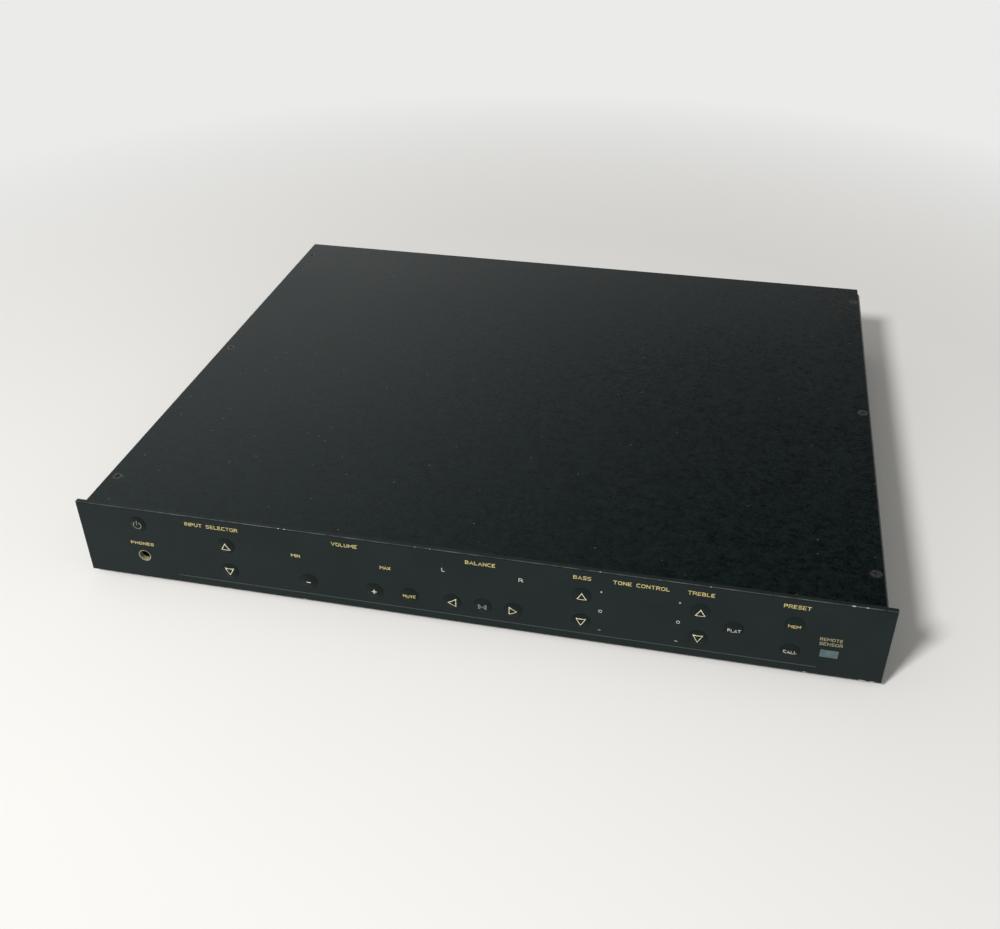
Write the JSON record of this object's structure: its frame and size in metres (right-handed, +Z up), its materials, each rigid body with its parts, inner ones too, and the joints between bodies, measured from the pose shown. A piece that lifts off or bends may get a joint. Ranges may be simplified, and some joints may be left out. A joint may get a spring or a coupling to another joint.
{
  "type": "control amplifier",
  "caption": "Slim black audio control amplifier: flat front panel with round keys and headphone socket, screwed sheet-metal case, phono sockets and mains inlet at the rear.",
  "frame": {"origin": "floor under the feet, below the middle of the object's box", "axes": "+X to the right across the front panel, +Y from the front panel to the rear, +Z up"},
  "size_m": [0.43, 0.3684, 0.0505],
  "materials": {
    "case_black": "fine-textured semi-matt black powder coat",
    "panel_black": "satin black, bright where the edges are worn",
    "film_black": "satin black printed film",
    "key_black": "satin black",
    "screw_black": "blackened, worn at the recess",
    "zinc_steel": "bright zinc plate",
    "foot_rubber": "matt black",
    "dark_plastic": "moulded black",
    "board_green": "solder mask",
    "lamp_red": "tinted, unlit",
    "sensor_grey": "smoky grey-blue window",
    "bright_nickel": "nickel plate",
    "core_iron": "varnished laminations",
    "winding_copper": "enamelled copper under tape",
    "capacitor_sleeve": "shrunk sleeve",
    "relay_ivory": "moulded",
    "bare_aluminium": "extruded",
    "ring_white": "moulded",
    "ring_red": "moulded",
    "contact_brass": "plated",
    "fuse_glass": "clear tube",
    "ribbon_grey": "flat cable",
    "wire_blue": "insulated wire"
  },
  "bodies": {
    "chassis": {"chassis_tray": "case_black", "cover_nuts": "zinc_steel", "front_panel": "panel_black", "front_film": "film_black", "top_cover": "case_black", "cover_screws": "screw_black", "rear_panel": "case_black", "rear_panel_screws": "zinc_steel", "feet": "foot_rubber", "foot_screws": "zinc_steel", "key_switches": "dark_plastic", "display_board": "board_green", "board_pillars": "zinc_steel", "board_screws": "zinc_steel", "input_digit": "lamp_red", "indicator_lamps": "lamp_red", "sensor_window": "sensor_grey", "infrared_receiver": "dark_plastic", "phones_bush": "bright_nickel", "phones_socket": "dark_plastic", "main_board": "board_green", "main_board_posts": "zinc_steel", "transformer_core": "core_iron", "transformer_winding": "winding_copper", "transformer_brackets": "zinc_steel", "chassis_screws": "zinc_steel", "filter_capacitors": "capacitor_sleeve", "signal_chips": "dark_plastic", "relays": "relay_ivory", "regulators": "dark_plastic", "heat_sink": "bare_aluminium", "phono_housings": "dark_plastic", "phono_sleeves": "bright_nickel", "phono_rings_left": "ring_white", "phono_rings_right": "ring_red", "phono_contacts": "contact_brass", "mains_inlet": "dark_plastic", "inlet_pins": "bright_nickel", "fuse_holder": "dark_plastic", "fuse": "fuse_glass", "ribbon_cable": "ribbon_grey", "supply_wires": "wire_blue"},
    "key_power": {"key_power": "key_black"},
    "key_input_up": {"key_input_up": "key_black"},
    "key_input_down": {"key_input_down": "key_black"},
    "key_volume_down": {"key_volume_down": "key_black"},
    "key_volume_up": {"key_volume_up": "key_black"},
    "key_mute": {"key_mute": "key_black"},
    "key_balance_left": {"key_balance_left": "key_black"},
    "key_balance_centre": {"key_balance_centre": "key_black"},
    "key_balance_right": {"key_balance_right": "key_black"},
    "key_bass_up": {"key_bass_up": "key_black"},
    "key_bass_down": {"key_bass_down": "key_black"},
    "key_treble_up": {"key_treble_up": "key_black"},
    "key_treble_down": {"key_treble_down": "key_black"},
    "key_tone_flat": {"key_tone_flat": "key_black"},
    "key_preset_store": {"key_preset_store": "key_black"},
    "key_preset_recall": {"key_preset_recall": "key_black"},
    "fuse_cap": {"fuse_cap": "dark_plastic"}
  },
  "joints": [
    {"name": "press_power", "type": "slide", "parent": "chassis", "child": "key_power", "axis": [0, 1, 0], "range_m": [0, 0.0005], "stiffness_N_per_m": 2000},
    {"name": "press_input_up", "type": "slide", "parent": "chassis", "child": "key_input_up", "axis": [0, 1, 0], "range_m": [0, 0.0005], "stiffness_N_per_m": 2000},
    {"name": "press_input_down", "type": "slide", "parent": "chassis", "child": "key_input_down", "axis": [0, 1, 0], "range_m": [0, 0.0005], "stiffness_N_per_m": 2000},
    {"name": "press_volume_down", "type": "slide", "parent": "chassis", "child": "key_volume_down", "axis": [0, 1, 0], "range_m": [0, 0.0005], "stiffness_N_per_m": 2000},
    {"name": "press_volume_up", "type": "slide", "parent": "chassis", "child": "key_volume_up", "axis": [0, 1, 0], "range_m": [0, 0.0005], "stiffness_N_per_m": 2000},
    {"name": "press_mute", "type": "slide", "parent": "chassis", "child": "key_mute", "axis": [0, 1, 0], "range_m": [0, 0.0005], "stiffness_N_per_m": 2000},
    {"name": "press_balance_left", "type": "slide", "parent": "chassis", "child": "key_balance_left", "axis": [0, 1, 0], "range_m": [0, 0.0005], "stiffness_N_per_m": 2000},
    {"name": "press_balance_centre", "type": "slide", "parent": "chassis", "child": "key_balance_centre", "axis": [0, 1, 0], "range_m": [0, 0.0005], "stiffness_N_per_m": 2000},
    {"name": "press_balance_right", "type": "slide", "parent": "chassis", "child": "key_balance_right", "axis": [0, 1, 0], "range_m": [0, 0.0005], "stiffness_N_per_m": 2000},
    {"name": "press_bass_up", "type": "slide", "parent": "chassis", "child": "key_bass_up", "axis": [0, 1, 0], "range_m": [0, 0.0005], "stiffness_N_per_m": 2000},
    {"name": "press_bass_down", "type": "slide", "parent": "chassis", "child": "key_bass_down", "axis": [0, 1, 0], "range_m": [0, 0.0005], "stiffness_N_per_m": 2000},
    {"name": "press_treble_up", "type": "slide", "parent": "chassis", "child": "key_treble_up", "axis": [0, 1, 0], "range_m": [0, 0.0005], "stiffness_N_per_m": 2000},
    {"name": "press_treble_down", "type": "slide", "parent": "chassis", "child": "key_treble_down", "axis": [0, 1, 0], "range_m": [0, 0.0005], "stiffness_N_per_m": 2000},
    {"name": "press_tone_flat", "type": "slide", "parent": "chassis", "child": "key_tone_flat", "axis": [0, 1, 0], "range_m": [0, 0.0005], "stiffness_N_per_m": 2000},
    {"name": "press_preset_store", "type": "slide", "parent": "chassis", "child": "key_preset_store", "axis": [0, 1, 0], "range_m": [0, 0.0005], "stiffness_N_per_m": 2000},
    {"name": "press_preset_recall", "type": "slide", "parent": "chassis", "child": "key_preset_recall", "axis": [0, 1, 0], "range_m": [0, 0.0005], "stiffness_N_per_m": 2000},
    {"name": "fuse_cap_turn", "type": "hinge", "parent": "chassis", "child": "fuse_cap", "pos_m": [-0.098, 0.18018, 0.026], "axis": [0, 1, 0], "range_deg": [0, 45]}
  ]
}
